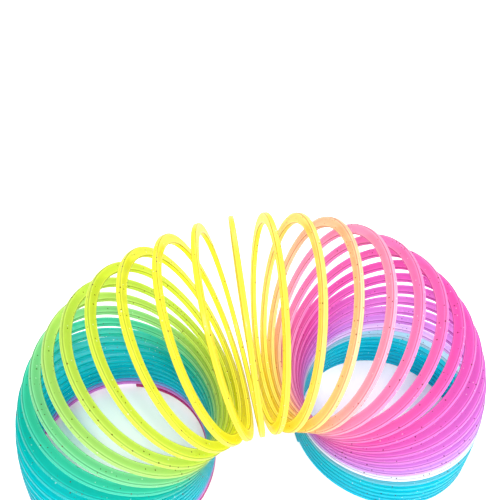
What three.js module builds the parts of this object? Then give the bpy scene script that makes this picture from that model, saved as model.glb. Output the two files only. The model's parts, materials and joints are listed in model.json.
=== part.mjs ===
// Spring coil toy: one helical plastic strip, bent into an arch that stands on both of its ends.
//
// The strip is divided into one mesh per turn, because each turn bends against the next one.
// A turn runs from one inner seam to the next: the seams are where neighbouring turns touch,
// on the inside of the arch, and each seam is the hinge between two turns. The turns that lie
// flat on each other at the two ends don't bend, and are one mesh each: the feet.
//
// Positions along the strip are counted in turns from the top of the arch, negative to the left:
// whole numbers are the outermost points of the turns and halves are the inner seams.
// Lengths are in millimetres, X runs along the arch, Y across it and Z up from the floor.
import * as THREE from 'three';

// The coil and its strip
const OUTER_DIAMETER = 75;
const STRIP_WIDTH = 3.8;
const STRIP_THICKNESS = 1.9;
const TURN_GAP = 0.25;
const SEAM_GAP = 0.3;
const LEFT_END = -18.72;

// The fan: how the coil's axis turns over, from upright in the left foot to upside down in the right
const LEFT_FAN_CENTRE = -10.1;
const LEFT_FAN_EASE = 12;
const RIGHT_FAN_CENTRE = 11.9;
const RIGHT_FAN_EASE = 12;

// The ends: each lies flat on the floor for part of a turn, then steps up to its own height
const FLAT_SHARE = 0.7;
const SETTLING_TURNS = 4;

// Mesh fineness, in steps round one turn
const STEPS_PER_TURN = 36;

const MEAN_RADIUS = (OUTER_DIAMETER - STRIP_WIDTH) / 2;
const CONTACT_PITCH = STRIP_THICKNESS + TURN_GAP;
const FAN_RATE = Math.PI / (RIGHT_FAN_CENTRE - LEFT_FAN_CENTRE);
const SEAM_TRIM = SEAM_GAP / 2 / (2 * Math.PI * MEAN_RADIUS);

// Colours along the strip, as [turn, colour]
const COLOUR_STOPS = [
  [-18.1, 0xc8307e],
  [-17.5, 0xd98be0],
  [-16.7, 0xb9bff0],
  [-15.9, 0x14cbe8],
  [-10.0, 0x1fd8e0],
  [-8.0, 0x84e3b0],
  [-6.0, 0xc3e63c],
  [-4.0, 0xeef02f],
  [1.5, 0xf8ee3a],
  [3.0, 0xfbc08e],
  [4.5, 0xfa9fc9],
  [6.5, 0xf55fc0],
  [11.0, 0xee72dc],
  [12.6, 0xdcaeea],
  [13.6, 0xf6f4fc],
  [14.6, 0xb4f0f6],
  [15.6, 0x22d6e6],
  [22.0, 0x12b4dc],
];

function clamp01(value) {
  return Math.min(1, Math.max(0, value));
}

function smooth(value) {
  const t = clamp01(value);
  return t * t * (3 - 2 * t);
}

// Distance covered by a rate that grows evenly from 0 to 1 over the first unit of length
function easedRun(t) {
  return t < 1 ? Math.max(0, t) ** 2 / 2 : t - 0.5;
}

// Angle of the coil's axis from upright, turning from +Z towards +X
function tilt(turn) {
  const rise = easedRun((turn - LEFT_FAN_CENTRE) / LEFT_FAN_EASE + 0.5) * LEFT_FAN_EASE;
  const fall = easedRun((turn - RIGHT_FAN_CENTRE) / RIGHT_FAN_EASE + 0.5) * RIGHT_FAN_EASE;
  return FAN_RATE * (rise - fall);
}

function stackDirection(turn) {
  return new THREE.Vector2(Math.sin(tilt(turn)), Math.cos(tilt(turn)));
}

// Drop of a settled turn below the even helix, in turns, so that the end lies flat on the floor
function settling(turnsFromEnd) {
  const share = turnsFromEnd - Math.floor(turnsFromEnd);
  const step = smooth((share - FLAT_SHARE) / (1 - FLAT_SHARE));
  return (step - share) * (1 - clamp01((turnsFromEnd - 1) / SETTLING_TURNS));
}

// The line on which the turns' inner edges touch, from the left end on, at even steps
const CONTACT_LINE = [new THREE.Vector2(0, STRIP_THICKNESS / 2)];
const RIGHT_END = traceContactLine();

// Fills CONTACT_LINE and returns the turn at which the right foot reaches the floor
function traceContactLine() {
  const step = 1 / STEPS_PER_TURN;
  for (let i = 0; ; i += 1) {
    const turn = LEFT_END + (i + 0.5) * step;
    const last = CONTACT_LINE[i];
    const next = last.clone().addScaledVector(stackDirection(turn), CONTACT_PITCH * step);
    CONTACT_LINE.push(next);
    if (turn > 0 && next.y < STRIP_THICKNESS / 2) {
      const share = (last.y - STRIP_THICKNESS / 2) / (last.y - next.y);
      return LEFT_END + (i + share) * step;
    }
  }
}

// Point of the contact line at a turn, in the XZ plane
function contactPoint(turn) {
  const place = (turn - LEFT_END) * STEPS_PER_TURN;
  const i = Math.min(Math.floor(place), CONTACT_LINE.length - 2);
  const point = CONTACT_LINE[i].clone().lerp(CONTACT_LINE[i + 1], place - i);
  const drop = settling(turn - LEFT_END) - settling(RIGHT_END - turn);
  return point.addScaledVector(stackDirection(turn), CONTACT_PITCH * drop);
}

// The strip's section at a turn: its centre, its outward direction and the coil's axis there
function station(turn) {
  const along = stackDirection(turn);
  const axis = new THREE.Vector3(along.x, 0, along.y);
  const outward = new THREE.Vector3(-along.y, 0, along.x);
  const angle = 2 * Math.PI * turn;
  const across = MEAN_RADIUS * (1 + Math.cos(angle)) + STRIP_WIDTH / 2;
  const contact = contactPoint(turn);
  const centre = new THREE.Vector3(contact.x, MEAN_RADIUS * Math.sin(angle), contact.y);
  centre.addScaledVector(outward, across);
  const radial = outward.clone().multiplyScalar(Math.cos(angle));
  radial.y = Math.sin(angle);
  return { centre, radial, axis };
}

// The four corners of the strip's section, going round it
function sectionCorners(turn) {
  const { centre, radial, axis } = station(turn);
  const signs = [[-1, -1], [1, -1], [1, 1], [-1, 1]];
  return signs.map(([side, level]) => centre.clone()
    .addScaledVector(radial, (side * STRIP_WIDTH) / 2)
    .addScaledVector(axis, (level * STRIP_THICKNESS) / 2));
}

// Turns at which a stretch of strip has a section: its two ends and the even steps between them
function sectionTurns(start, end) {
  const turns = [start];
  const first = Math.ceil(start * STEPS_PER_TURN + 0.5);
  for (let i = first; i < end * STEPS_PER_TURN - 0.5; i += 1) {
    turns.push(i / STEPS_PER_TURN);
  }
  turns.push(end);
  return turns;
}

// Closed strip from one turn position to another
function stripGeometry(start, end) {
  const turns = sectionTurns(start, end);
  const corners = turns.flatMap(sectionCorners);
  const faces = [];
  for (let i = 0; i < turns.length - 1; i += 1) {
    for (let side = 0; side < 4; side += 1) {
      const a = 4 * i + side;
      const b = 4 * i + ((side + 1) % 4);
      faces.push(a, b, b + 4, a, b + 4, a + 4);
    }
  }
  const last = 4 * (turns.length - 1);
  faces.push(0, 2, 1, 0, 3, 2);
  faces.push(last, last + 1, last + 2, last, last + 2, last + 3);
  const geometry = new THREE.BufferGeometry();
  const positions = corners.flatMap((corner) => corner.toArray());
  geometry.setAttribute('position', new THREE.Float32BufferAttribute(positions, 3));
  geometry.setIndex(faces);
  geometry.computeVertexNormals();
  return geometry;
}

function stripColour(turn) {
  const next = COLOUR_STOPS.findIndex(([stop]) => stop > turn);
  if (next <= 0) return new THREE.Color(COLOUR_STOPS.at(next)[1]);
  const [fromTurn, from] = COLOUR_STOPS[next - 1];
  const [toTurn, to] = COLOUR_STOPS[next];
  const share = (turn - fromTurn) / (toTurn - fromTurn);
  return new THREE.Color(from).lerp(new THREE.Color(to), share);
}

function turnMesh(name, start, end) {
  const material = new THREE.MeshStandardMaterial({
    color: stripColour((start + end) / 2),
    roughness: 0.25,
    metalness: 0,
  });
  const mesh = new THREE.Mesh(stripGeometry(start, end), material);
  mesh.name = name;
  return mesh;
}

// Inner seams that bend, from the top of the left foot to the top of the right one
function seamTurns() {
  const fanStart = LEFT_FAN_CENTRE - LEFT_FAN_EASE / 2;
  const fanEnd = RIGHT_FAN_CENTRE + RIGHT_FAN_EASE / 2;
  const seams = [];
  for (let seam = Math.ceil(fanStart - 0.5) + 0.5; seam < fanEnd; seam += 1) {
    seams.push(seam);
  }
  return seams;
}

const seams = seamTurns();
const coil = new THREE.Group();
coil.add(turnMesh('left_foot', LEFT_END, seams[0] - SEAM_TRIM));
for (let i = 1; i < seams.length; i += 1) {
  const name = `turn_${String(i).padStart(2, '0')}`;
  coil.add(turnMesh(name, seams[i - 1] + SEAM_TRIM, seams[i] - SEAM_TRIM));
}
coil.add(turnMesh('right_foot', seams.at(-1) + SEAM_TRIM, RIGHT_END));

// The origin is on the floor, midway along the arch
const extent = new THREE.Box3().setFromObject(coil);
coil.position.x = -(extent.min.x + extent.max.x) / 2;

export default coil;
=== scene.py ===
"""Looks of the spring coil toy: one helical strip of translucent rainbow plastic, arched on a table."""

import json
import math

import bpy
from mathutils import Matrix, Vector

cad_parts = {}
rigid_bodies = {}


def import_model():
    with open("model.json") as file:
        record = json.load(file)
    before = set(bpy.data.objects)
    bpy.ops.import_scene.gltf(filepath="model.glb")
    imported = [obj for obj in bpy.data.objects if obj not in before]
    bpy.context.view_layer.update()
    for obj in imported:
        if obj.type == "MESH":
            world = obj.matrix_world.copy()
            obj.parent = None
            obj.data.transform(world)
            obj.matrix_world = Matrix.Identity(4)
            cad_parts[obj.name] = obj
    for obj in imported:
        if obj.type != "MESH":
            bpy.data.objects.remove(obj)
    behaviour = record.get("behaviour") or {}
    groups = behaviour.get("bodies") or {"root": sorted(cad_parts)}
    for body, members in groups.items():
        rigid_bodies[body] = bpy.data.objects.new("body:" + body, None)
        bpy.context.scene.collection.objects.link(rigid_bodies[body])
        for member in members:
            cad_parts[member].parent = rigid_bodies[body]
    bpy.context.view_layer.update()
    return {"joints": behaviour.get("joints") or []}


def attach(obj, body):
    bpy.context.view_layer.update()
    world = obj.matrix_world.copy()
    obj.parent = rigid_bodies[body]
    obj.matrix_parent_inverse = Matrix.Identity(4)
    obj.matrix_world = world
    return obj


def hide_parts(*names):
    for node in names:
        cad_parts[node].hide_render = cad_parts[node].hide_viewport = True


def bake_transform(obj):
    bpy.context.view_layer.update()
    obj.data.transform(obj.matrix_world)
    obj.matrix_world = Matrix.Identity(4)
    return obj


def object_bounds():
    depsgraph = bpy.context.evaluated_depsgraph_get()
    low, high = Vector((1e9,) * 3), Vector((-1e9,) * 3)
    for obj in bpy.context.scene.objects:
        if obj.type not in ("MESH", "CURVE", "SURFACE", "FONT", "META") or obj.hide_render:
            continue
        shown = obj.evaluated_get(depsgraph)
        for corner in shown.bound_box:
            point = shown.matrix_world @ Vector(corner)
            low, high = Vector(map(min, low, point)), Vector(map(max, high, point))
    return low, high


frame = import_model()

MM = 0.001
WHITE = (1.0, 1.0, 1.0, 1.0)

# The coil and its strip, as built in CAD. Places along the strip are counted in turns from the
# top of the arch: whole numbers are the outermost points and halves are the inner seams.
MEAN_RADIUS = 35.6 * MM
TURN_LENGTH = 2 * math.pi * MEAN_RADIUS
STRIP_WIDTH = 3.8 * MM
STRIP_THICKNESS = 1.9 * MM
CONTACT_PITCH = 2.15 * MM
LEFT_END = -18.72
RIGHT_END = 20.52
LEFT_FAN_CENTRE = -10.1
LEFT_FAN_EASE = 12
RIGHT_FAN_CENTRE = 11.9
RIGHT_FAN_EASE = 12
FAN_RATE = math.pi / (RIGHT_FAN_CENTRE - LEFT_FAN_CENTRE)
FLAT_SHARE = 0.7
SETTLING_TURNS = 4
FIRST_SEAM = -15.5

# Near the inner seams the dye has run towards the top of the arch, except at the feet
LEFT_DYE_RUN = 1.2
RIGHT_DYE_RUN = 2.6
DYE_FADE_START = 9.0
DYE_FADE_END = 13.0

# The visible strip: rounded edges, a shallow groove along each face, and a fine mesh
SKIN_CLEARANCE = 0.02 * MM
EDGE_RADIUS = 0.45 * MM
EDGE_STEPS = 4
GROOVE_DEPTH = 0.07 * MM
GROOVE_SHARE = 0.25
FLAT_EDGE_SHARE = 0.55
STEPS_PER_TURN = 96
LINE_STEPS_PER_TURN = 144

# The strip's free ends: how far the rounding reaches, how deep it is, and where it has sections
END_ROUNDING = 0.6 * MM
END_DEPTH = 0.8
END_SHARES = (0.0, 0.03, 0.12, 0.3, 0.6, 1.0)

# How near a place on the section is to an edge, from 0 in the middle of a face to 1 on an edge
FACE_RIM = 0.6
SIDE_RIM = 0.15
EDGE_RIM = 0.8

# Colours along the strip, as (turn, sRGB colour)
COLOUR_STOPS = [
    (-18.5, 0xE0489A),
    (-18.2, 0xE25EB4),
    (-17.95, 0xE892E0),
    (-17.5, 0xEEAEF4),
    (-17.1, 0xD4BCF8),
    (-16.7, 0x90C8F2),
    (-16.1, 0x00D8E6),
    (-11.0, 0x00CCD2),
    # darker teal around turn -9: partly the strip's own colour, partly painted shade for the shaded
    # lower near side of the left foot
    (-9.2, 0x08C4BC),
    (-7.8, 0x58D6B8),
    (-6.8, 0xA4DEA6),
    (-5.8, 0xC8E27C),
    (-4.6, 0xD2E460),
    (-3.2, 0xE6EC4C),
    (-1.5, 0xF6F044),
    (1.2, 0xF8EC60),
    (2.4, 0xF6DE90),
    (3.1, 0xF6D0B0),
    (3.8, 0xF2B4CA),
    (5.2, 0xEC94CA),
    (7.0, 0xE876C6),
    (9.0, 0xE080D2),
    (11.0, 0xDE94DE),
    (12.5, 0xDAA4E6),
    (13.2, 0xE8D0F2),
    (13.7, 0xFAFCFE),
    (14.1, 0xC0E0E8),
    (14.7, 0x64C8D6),
    (15.3, 0x00D8E4),
    (21.0, 0x00D0E6),
]

# The deeper colours where the light comes through more plastic, as (turn, sRGB colour)
DEEP_STOPS = [
    (-18.5, 0xC82C7C),
    (-18.0, 0xD67CC8),
    (-17.2, 0xCE9CEA),
    (-16.5, 0x60ACE0),
    (-15.8, 0x00CCDC),
    (-10.0, 0x00CCD0),
    (-9.0, 0x04C6BC),
    (-7.5, 0x38BE98),
    (-6.0, 0xAED268),
    (-4.0, 0xC8D848),
    (-2.0, 0xEAD83C),
    (1.4, 0xF0D24C),
    (3.0, 0xF0BC98),
    (4.0, 0xEA94B8),
    (7.0, 0xE262B6),
    (9.5, 0xD872C8),
    (11.0, 0xD688D4),
    (12.8, 0xB880CC),
    (13.8, 0xDCE0F0),
    (15.0, 0x10C4D2),
    (16.0, 0x00CCE0),
    (21.0, 0x00C6E2),
]


def clamp01(value):
    return min(1.0, max(0.0, value))


def smooth(value):
    t = clamp01(value)
    return t * t * (3 - 2 * t)


def eased_run(t):
    return max(0.0, t) ** 2 / 2 if t < 1 else t - 0.5


def tilt(turn):
    """Angle of the coil's axis from upright, turning from +Z towards +X."""
    rise = eased_run((turn - LEFT_FAN_CENTRE) / LEFT_FAN_EASE + 0.5) * LEFT_FAN_EASE
    fall = eased_run((turn - RIGHT_FAN_CENTRE) / RIGHT_FAN_EASE + 0.5) * RIGHT_FAN_EASE
    return FAN_RATE * (rise - fall)


def stack_direction(turn):
    return Vector((math.sin(tilt(turn)), 0, math.cos(tilt(turn))))


def outward_direction(turn):
    return Vector((-math.cos(tilt(turn)), 0, math.sin(tilt(turn))))


def settling(turns_from_end):
    """Drop of a settled turn below the even helix, in turns: the ends lie flat on the floor."""
    share = turns_from_end - math.floor(turns_from_end)
    step = smooth((share - FLAT_SHARE) / (1 - FLAT_SHARE))
    return (step - share) * (1 - clamp01((turns_from_end - 1) / SETTLING_TURNS))


def trace_contact_line():
    """The line on which the turns' inner edges touch, from the left end to past the right one."""
    line = [Vector((0, 0, STRIP_THICKNESS / 2))]
    for i in range(math.ceil((RIGHT_END - LEFT_END) * LINE_STEPS_PER_TURN) + 1):
        turn = LEFT_END + (i + 0.5) / LINE_STEPS_PER_TURN
        line.append(line[-1] + stack_direction(turn) * (CONTACT_PITCH / LINE_STEPS_PER_TURN))
    return line


CONTACT_LINE = trace_contact_line()


def contact_point(turn):
    place = (turn - LEFT_END) * LINE_STEPS_PER_TURN
    i = min(max(math.floor(place), 0), len(CONTACT_LINE) - 2)
    point = CONTACT_LINE[i].lerp(CONTACT_LINE[i + 1], place - i)
    drop = settling(max(0.0, turn - LEFT_END)) - settling(max(0.0, RIGHT_END - turn))
    return point + stack_direction(turn) * (CONTACT_PITCH * drop)


# The first hinge is in the middle of the strip at the first seam, which places the whole line
first_hinge = Vector(frame["joints"][0]["pos_m"])
LINE_SHIFT = first_hinge - contact_point(FIRST_SEAM) - outward_direction(FIRST_SEAM) * (STRIP_WIDTH / 2)
LINE_SHIFT.y = 0
LINE_SHIFT.z = 0


def station(turn):
    """The strip's section at a turn: its centre, its outward direction and the coil's axis."""
    outward = outward_direction(turn)
    angle = 2 * math.pi * turn
    across = MEAN_RADIUS * (1 + math.cos(angle)) + STRIP_WIDTH / 2
    centre = contact_point(turn) + outward * across + LINE_SHIFT
    centre.y = MEAN_RADIUS * math.sin(angle)
    radial = outward * math.cos(angle)
    radial.y = math.sin(angle)
    return centre, radial, stack_direction(turn)


def dye_place(turn):
    """Turn whose colour the strip has at a turn."""
    closeness = 0.5 - 0.5 * math.cos(2 * math.pi * turn)
    fade = smooth((DYE_FADE_END - abs(turn)) / (DYE_FADE_END - DYE_FADE_START))
    run = (RIGHT_DYE_RUN if turn > 0 else LEFT_DYE_RUN) * closeness**3 * fade * math.tanh(turn / 5)
    return turn - run


def section_outline():
    """The section's outline, going round it, as (across, along the axis, nearness to an edge)."""
    half_width = STRIP_WIDTH / 2 - SKIN_CLEARANCE
    half_height = STRIP_THICKNESS / 2 - SKIN_CLEARANCE
    points = []
    for side, level, start in ((-1, -1, 180), (1, -1, 270), (1, 1, 0), (-1, 1, 90)):
        for k in range(EDGE_STEPS + 1):
            angle = math.radians(start + 90 * k / EDGE_STEPS)
            across = side * (half_width - EDGE_RADIUS) + EDGE_RADIUS * math.cos(angle)
            along = level * (half_height - EDGE_RADIUS) + EDGE_RADIUS * math.sin(angle)
            rim = EDGE_RIM + (1 - EDGE_RIM) * math.sin(math.pi * k / EDGE_STEPS)
            points.append((across, along, rim))
        # each wide face has a flat edge and a wide groove, and each narrow one a shallow hollow
        for share, groove in ((FLAT_EDGE_SHARE, 0.0), (GROOVE_SHARE, GROOVE_DEPTH)):
            points.append((side * share * half_width, level * (half_height - groove), share * FACE_RIM))
    for side in (-1, 1):
        points.append((side * (half_width - GROOVE_DEPTH / 2), 0.0, SIDE_RIM))
    return sorted(points, key=lambda point: math.atan2(point[1] * 2, point[0]))


OUTLINE = section_outline()


def end_steps():
    """Sections of a free end, as (turns in from the end, how far they are drawn in)."""
    steps = []
    for share in END_SHARES:
        inset = END_ROUNDING * (1 - math.sqrt(max(0.0, 1 - (1 - share) ** 2)))
        steps.append((END_ROUNDING / TURN_LENGTH * share, inset * END_DEPTH))
    return steps


def strip_steps(start, end):
    """Sections of a stretch of strip, as (turn, how far they are drawn in)."""
    count = max(2, math.ceil((end - start) * STEPS_PER_TURN))
    steps = [(start + (end - start) * i / count, 0.0) for i in range(count + 1)]
    if start <= LEFT_END:
        steps = [(start + reach, inset) for reach, inset in end_steps()] + steps[1:]
    if end >= RIGHT_END:
        steps = steps[:-1] + [(end - reach, inset) for reach, inset in reversed(end_steps())]
    return steps


def strip_faces(start, end, section_count):
    """Faces round a stretch of strip, with a cap on a free end of the coil."""
    n = len(OUTLINE)
    faces = []
    for i in range(section_count - 1):
        for k in range(n):
            a = n * i + k
            b = n * i + (k + 1) % n
            faces.append((a, b, b + n, a + n))
    if start <= LEFT_END:
        faces.append(tuple(reversed(range(n))))
    if end >= RIGHT_END:
        faces.append(tuple(range(n * (section_count - 1), n * section_count)))
    return faces


def strip_mesh(name, start, end):
    """Strip from one turn position to another, closed and rounded at a free end of the coil."""
    steps = strip_steps(start, end)
    verts, dyes, rims, places = [], [], [], []
    for turn, inset in steps:
        centre, radial, axis = station(turn)
        girth = 0.0
        for k, (across, along, rim) in enumerate(OUTLINE):
            width = across - math.copysign(inset, across)
            height = along - math.copysign(min(inset, abs(along)), along)
            verts.append(centre + radial * width + axis * height)
            dyes.append(dye_place(turn))
            rims.append(rim)
            places.append((turn * TURN_LENGTH, girth, 0.0))
            following = OUTLINE[(k + 1) % len(OUTLINE)]
            girth += math.dist((across, along), following[:2])
    mesh = bpy.data.meshes.new(name)
    mesh.from_pydata(verts, [], strip_faces(start, end, len(steps)))
    mesh.polygons.foreach_set("use_smooth", [len(p.vertices) == 4 for p in mesh.polygons])
    mesh.attributes.new("dye", "FLOAT", "POINT").data.foreach_set("value", dyes)
    mesh.attributes.new("rim", "FLOAT", "POINT").data.foreach_set("value", rims)
    flat = [value for place in places for value in place]
    mesh.attributes.new("place", "FLOAT_VECTOR", "POINT").data.foreach_set("vector", flat)
    mesh.update()
    obj = bpy.data.objects.new(name, mesh)
    bpy.context.scene.collection.objects.link(obj)
    return obj


def srgb(colour):
    """Linear RGBA of a 0xRRGGBB colour."""
    channels = [((colour >> shift) & 255) / 255 for shift in (16, 8, 0)]
    linear = [c / 12.92 if c <= 0.04045 else ((c + 0.055) / 1.055) ** 2.4 for c in channels]
    return (*linear, 1.0)


class Nodes:
    """Short ways to add and join a material's nodes."""

    def __init__(self, material):
        material.use_nodes = True
        self.tree = material.node_tree
        self.tree.nodes.clear()

    def add(self, kind, **settings):
        made = self.tree.nodes.new(kind)
        for key, value in settings.items():
            setattr(made, key, value)
        return made

    def feed(self, socket, value):
        """Sets a socket to a constant, or links another node's output to it."""
        if isinstance(value, (int, float, tuple)):
            socket.default_value = value
        else:
            self.tree.links.new(value, socket)

    def maths(self, operation, *values):
        made = self.add("ShaderNodeMath", operation=operation)
        for socket, value in zip(made.inputs, values):
            self.feed(socket, value)
        return made.outputs[0]

    def mixed(self, factor, a, b, blend="MIX"):
        made = self.add("ShaderNodeMix", data_type="RGBA", blend_type=blend)
        self.feed(made.inputs[0], factor)
        self.feed(made.inputs[6], a)
        self.feed(made.inputs[7], b)
        return made.outputs[2]

    def band(self, value, low, high, at_low, at_high):
        """A smooth step from one number to another as a value goes from low to high."""
        made = self.add("ShaderNodeMapRange", interpolation_type="SMOOTHSTEP")
        for socket, number in zip(made.inputs[0:5], (value, low, high, at_low, at_high)):
            self.feed(socket, number)
        return made.outputs[0]

    def attribute(self, name, output):
        return self.add("ShaderNodeAttribute", attribute_name=name).outputs[output]

    def noise(self, vector, scale, detail):
        made = self.add("ShaderNodeTexNoise", noise_dimensions="3D")
        self.feed(made.inputs["Vector"], vector)
        self.feed(made.inputs["Scale"], scale)
        self.feed(made.inputs["Detail"], detail)
        return made.outputs["Fac"]

    def stops_ramp(self, dye, stops):
        """Colour of a list of (turn, sRGB colour) at a turn."""
        low, high = stops[0][0], stops[-1][0]
        made = self.add("ShaderNodeValToRGB")
        elements = made.color_ramp.elements
        for i, (stop, colour) in enumerate(stops):
            position = (stop - low) / (high - low)
            element = elements[i] if i < 2 else elements.new(position)
            element.position = position
            element.color = srgb(colour)
        self.feed(made.inputs[0], self.maths("MULTIPLY_ADD", dye, 1 / (high - low), -low / (high - low)))
        return made.outputs["Color"]

    def specks(self, vector, scale, radius, keep):
        """1 inside small round specks, in a share of the cells of a random pattern, and 0 elsewhere."""
        cells = self.add("ShaderNodeTexVoronoi", voronoi_dimensions="2D", feature="F1")
        self.feed(cells.inputs["Vector"], vector)
        self.feed(cells.inputs["Scale"], scale)
        parts = self.add("ShaderNodeSeparateColor")
        self.feed(parts.inputs[0], cells.outputs["Color"])
        size = self.maths("MULTIPLY", parts.outputs[1], radius)
        near = self.maths("LESS_THAN", cells.outputs["Distance"], size)
        return self.maths("MULTIPLY", near, self.maths("LESS_THAN", parts.outputs[0], keep))


def dyed_colours(nodes, place):
    """The strip's colour on its surface, with painted shade along its edges and painted glints, and the
    colour of the light that comes through it.
    """
    dye = nodes.attribute("dye", "Fac")
    rim = nodes.attribute("rim", "Fac")
    colour = nodes.stops_ramp(dye, COLOUR_STOPS)
    deep = nodes.stops_ramp(dye, DEEP_STOPS)

    # the dye is not even: slow drifts along the strip
    drift = nodes.noise(place, 55, 2)
    body = nodes.mixed(nodes.maths("MULTIPLY", drift, 0.3), colour, deep)

    # the middle of a face looks through more plastic than the part near its edges does, and the edges
    # carry a thin dark line of painted shade, standing for the shade in the gaps between stacked turns
    pale = nodes.mixed(0.01, colour, WHITE)
    # painted shade: the deep colour darkened by half, laid along the edges in the mix below
    line = nodes.mixed(1.0, deep, (0.5, 0.5, 0.5, 1.0), "MULTIPLY")
    body = nodes.mixed(nodes.band(rim, 0.0, 0.3, 0.75, 0.0), body, deep)
    body = nodes.mixed(nodes.band(rim, 0.3, 0.7, 0.0, 0.7), body, pale)
    # paint the shade line onto the edges of the section
    body = nodes.mixed(nodes.band(rim, 0.78, 1.0, 0.0, 0.85), body, line)

    # dark specks set in the plastic, and bright white specks that are painted glints
    dark = nodes.specks(place, 520, 0.16, 0.32)
    painted_glints = nodes.specks(place, 380, 0.1, 0.22)
    body = nodes.mixed(nodes.maths("MULTIPLY", dark, 0.8), body, (0.1, 0.03, 0.02, 1.0))
    # painted glints: white mixed in at half strength inside the bright specks
    body = nodes.mixed(nodes.maths("MULTIPLY", painted_glints, 0.5), body, WHITE)
    return body, pale, nodes.band(rim, 0.3, 0.8, 0.36, 0.14)


def rainbow_plastic():
    """Glossy translucent plastic, coloured along the strip, with painted shade lining its edges, fine
    dark specks and painted glints.
    """
    material = bpy.data.materials.new("rainbow_plastic")
    nodes = Nodes(material)
    place = nodes.attribute("place", "Vector")
    body, pale, clearness = dyed_colours(nodes, place)

    # fine unevenness of the moulded surface
    grain = nodes.noise(place, 900, 3)
    bump = nodes.add("ShaderNodeBump")
    nodes.feed(bump.inputs["Strength"], 0.06)
    nodes.feed(bump.inputs["Distance"], 0.3 * MM)
    nodes.feed(bump.inputs["Height"], grain)

    plastic = nodes.add("ShaderNodeBsdfPrincipled")
    nodes.feed(plastic.inputs["Base Color"], body)
    nodes.feed(plastic.inputs["Roughness"], nodes.maths("MULTIPLY_ADD", grain, 0.12, 0.14))
    nodes.feed(plastic.inputs["Normal"], bump.outputs["Normal"])
    nodes.feed(plastic.inputs["IOR"], 1.5)
    nodes.feed(plastic.inputs["Specular IOR Level"], 0.16)
    nodes.feed(plastic.inputs["Coat Weight"], 0.12)
    nodes.feed(plastic.inputs["Coat Roughness"], 0.06)

    # light shines through the plastic, and a little passes straight through
    glow = nodes.add("ShaderNodeBsdfTranslucent")
    nodes.feed(glow.inputs["Color"], body)
    clear = nodes.add("ShaderNodeBsdfTransparent")
    nodes.feed(clear.inputs["Color"], pale)
    surface = plastic.outputs[0]
    for factor, other in ((0.45, glow), (clearness, clear)):
        mix = nodes.add("ShaderNodeMixShader")
        nodes.feed(mix.inputs[0], factor)
        nodes.feed(mix.inputs[1], surface)
        nodes.feed(mix.inputs[2], other.outputs[0])
        surface = mix.outputs[0]
    nodes.feed(nodes.add("ShaderNodeOutputMaterial").inputs["Surface"], surface)
    return material


def build_strip():
    """One piece for each half turn, and a base piece at each end of the strip that is attached to the
    end's body.
    """
    plastic = rainbow_plastic()
    joints = frame["joints"]
    chain = [joints[0]["parent"]] + [joint["child"] for joint in joints]
    seams = [FIRST_SEAM + i for i in range(len(joints))]

    def finish_piece(obj, body):
        obj.data.materials.append(plastic)
        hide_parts(body)

    def bend(obj, outer, seam):
        start = station(outer)[0]
        station(seam)[0] * 2 - start
        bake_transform(obj)

    for i, body in enumerate(chain):
        if i > 0:
            seam = seams[i - 1]
            piece = strip_mesh(f"{body}_rise", seam, seam + 0.5)
            finish_piece(piece, body)
            bend(piece, seam + 0.5, seam)
        if i < len(seams):
            seam = seams[i]
            piece = strip_mesh(f"{body}_fall", seam - 0.5, seam)
            finish_piece(piece, body)
            bend(piece, seam - 0.5, seam)
    ends = ((chain[0], LEFT_END, seams[0] - 0.5), (chain[-1], seams[-1] + 0.5, RIGHT_END))
    for body, start, end in ends:
        piece = strip_mesh(f"{body}_base", start, end)
        finish_piece(piece, body)
        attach(piece, body)


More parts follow.
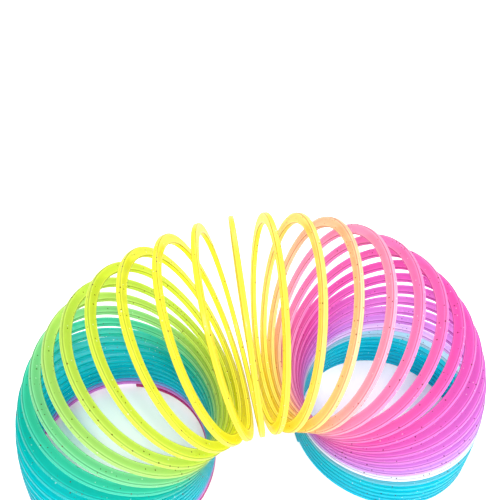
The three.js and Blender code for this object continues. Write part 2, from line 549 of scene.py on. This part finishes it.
def build_floor():
    """A wide pale table top."""
    half = 3.0
    corners = [(-half, -half, 0), (half, -half, 0), (half, half, 0), (-half, half, 0)]
    mesh = bpy.data.meshes.new("table_top")
    mesh.from_pydata(corners, [], [(0, 1, 2, 3)])
    floor = bpy.data.objects.new("table_top", mesh)
    bpy.context.scene.collection.objects.link(floor)
    floor.location.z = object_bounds()[0].z
    material = bpy.data.materials.new("table_paint")
    material.use_nodes = True
    tree = material.node_tree
    shader = tree.nodes["Principled BSDF"]
    shader.inputs["Roughness"].default_value = 0.6
    noise = tree.nodes.new("ShaderNodeTexNoise")
    noise.inputs["Scale"].default_value = 30
    ramp = tree.nodes.new("ShaderNodeValToRGB")
    ramp.color_ramp.elements[0].color = (0.95, 0.95, 0.95, 1)
    ramp.color_ramp.elements[1].color = (0.98, 0.98, 0.98, 1)
    tree.links.new(noise.outputs["Fac"], ramp.inputs[0])
    tree.links.new(ramp.outputs[0], shader.inputs["Base Color"])
    floor.data.materials.append(material)


def area_light(name, place, target, size, power):
    data = bpy.data.lights.new(name, "AREA")
    data.shape = "DISK"
    data.size = size
    data.energy = power
    lamp = bpy.data.objects.new(name, data)
    bpy.context.scene.collection.objects.link(lamp)
    lamp.location = place
    lamp.rotation_euler = (Vector(target) - Vector(place)).to_track_quat("-Z", "Y").to_euler()


def build_lights():
    centre = (0, 0, 0.05)
    area_light("key", (-0.35, -0.45, 0.75), centre, 0.25, 5)
    area_light("front", (0.35, -0.65, 0.25), centre, 0.4, 4)
    area_light("fill", (0.7, -0.2, 0.5), centre, 0.6, 4)
    area_light("glint", (-0.12, -0.5, 0.62), centre, 0.06, 2)
    area_light("back", (0.1, 0.7, 0.6), centre, 0.5, 5)
    world = bpy.data.worlds.new("studio")
    bpy.context.scene.world = world
    world.use_nodes = True
    background = world.node_tree.nodes["Background"]
    background.inputs[0].default_value = (1, 1, 1, 1)
    background.inputs[1].default_value = 0.95


def build_camera():
    """Looks down along the arch's side, from in front and a little left of its middle."""
    place = Vector((-0.03698, -0.14174, 0.2293))
    down, turned, roll = 0.7096, 0.2099, -0.057
    ahead = Vector((math.sin(turned), math.cos(turned), 0))
    forward = ahead * math.cos(down) - Vector((0, 0, math.sin(down)))
    right = Vector((math.cos(turned), -math.sin(turned), 0))
    up = right.cross(forward)
    tilted_right = right * math.cos(roll) - up * math.sin(roll)
    tilted_up = right * math.sin(roll) + up * math.cos(roll)
    data = bpy.data.cameras.new("camera")
    data.sensor_width = 36
    data.lens = 44.77
    data.clip_start = 0.01
    camera = bpy.data.objects.new("camera", data)
    bpy.context.scene.collection.objects.link(camera)
    axes = Matrix((tilted_right, tilted_up, -forward)).transposed()
    camera.matrix_world = Matrix.Translation(place) @ axes.to_4x4()
    bpy.context.scene.camera = camera


build_strip()
build_floor()
build_lights()
build_camera()
bpy.context.scene.view_settings.view_transform = "Standard"
